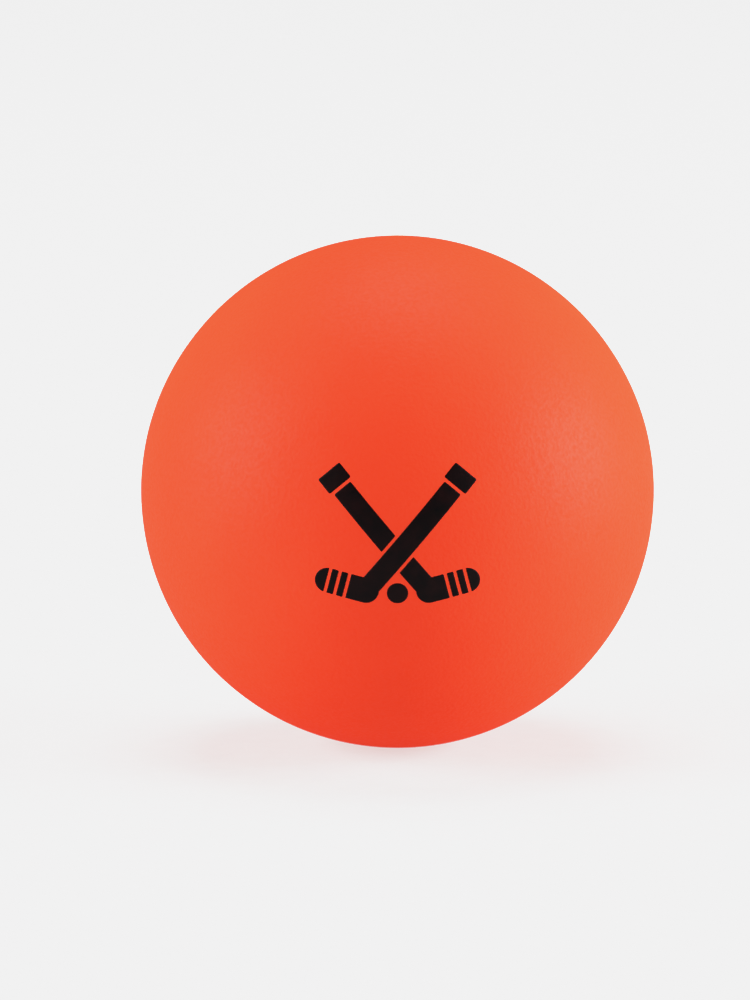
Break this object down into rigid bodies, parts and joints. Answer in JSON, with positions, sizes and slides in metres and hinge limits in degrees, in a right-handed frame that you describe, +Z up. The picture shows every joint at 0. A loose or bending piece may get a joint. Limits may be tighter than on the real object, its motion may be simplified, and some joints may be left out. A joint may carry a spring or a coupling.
{
  "type": "street hockey ball",
  "caption": "Hollow soft ball for street hockey, part filled with liquid so that it bounces little, closed by a cemented barbed plug, with a printed mark opposite.",
  "frame": {"origin": "centre of the ball", "axes": "+Z up from the liquid's rest, -Y towards the printed mark, +Y towards the fill plug"},
  "size_m": [0.0652, 0.0649, 0.0652],
  "materials": {
    "pvc": "satin, smooth moulded soft PVC",
    "plug": "satin, moulded",
    "cement": "cured solvent cement, dull amber",
    "liquid": "clear liquid, faintly tinted",
    "ink": "satin black pad-printing ink"
  },
  "bodies": {
    "ball": {"shell": "pvc", "fill_plug": "plug", "plug_cement": "cement", "printed_mark": "ink"},
    "liquid": {"liquid_fill": "liquid"}
  },
  "joints": [
    {"name": "liquid_roll", "type": "hinge", "parent": "ball", "child": "liquid", "pos_m": [0, 0, 0], "axis": [0, 1, 0], "continuous": true}
  ]
}
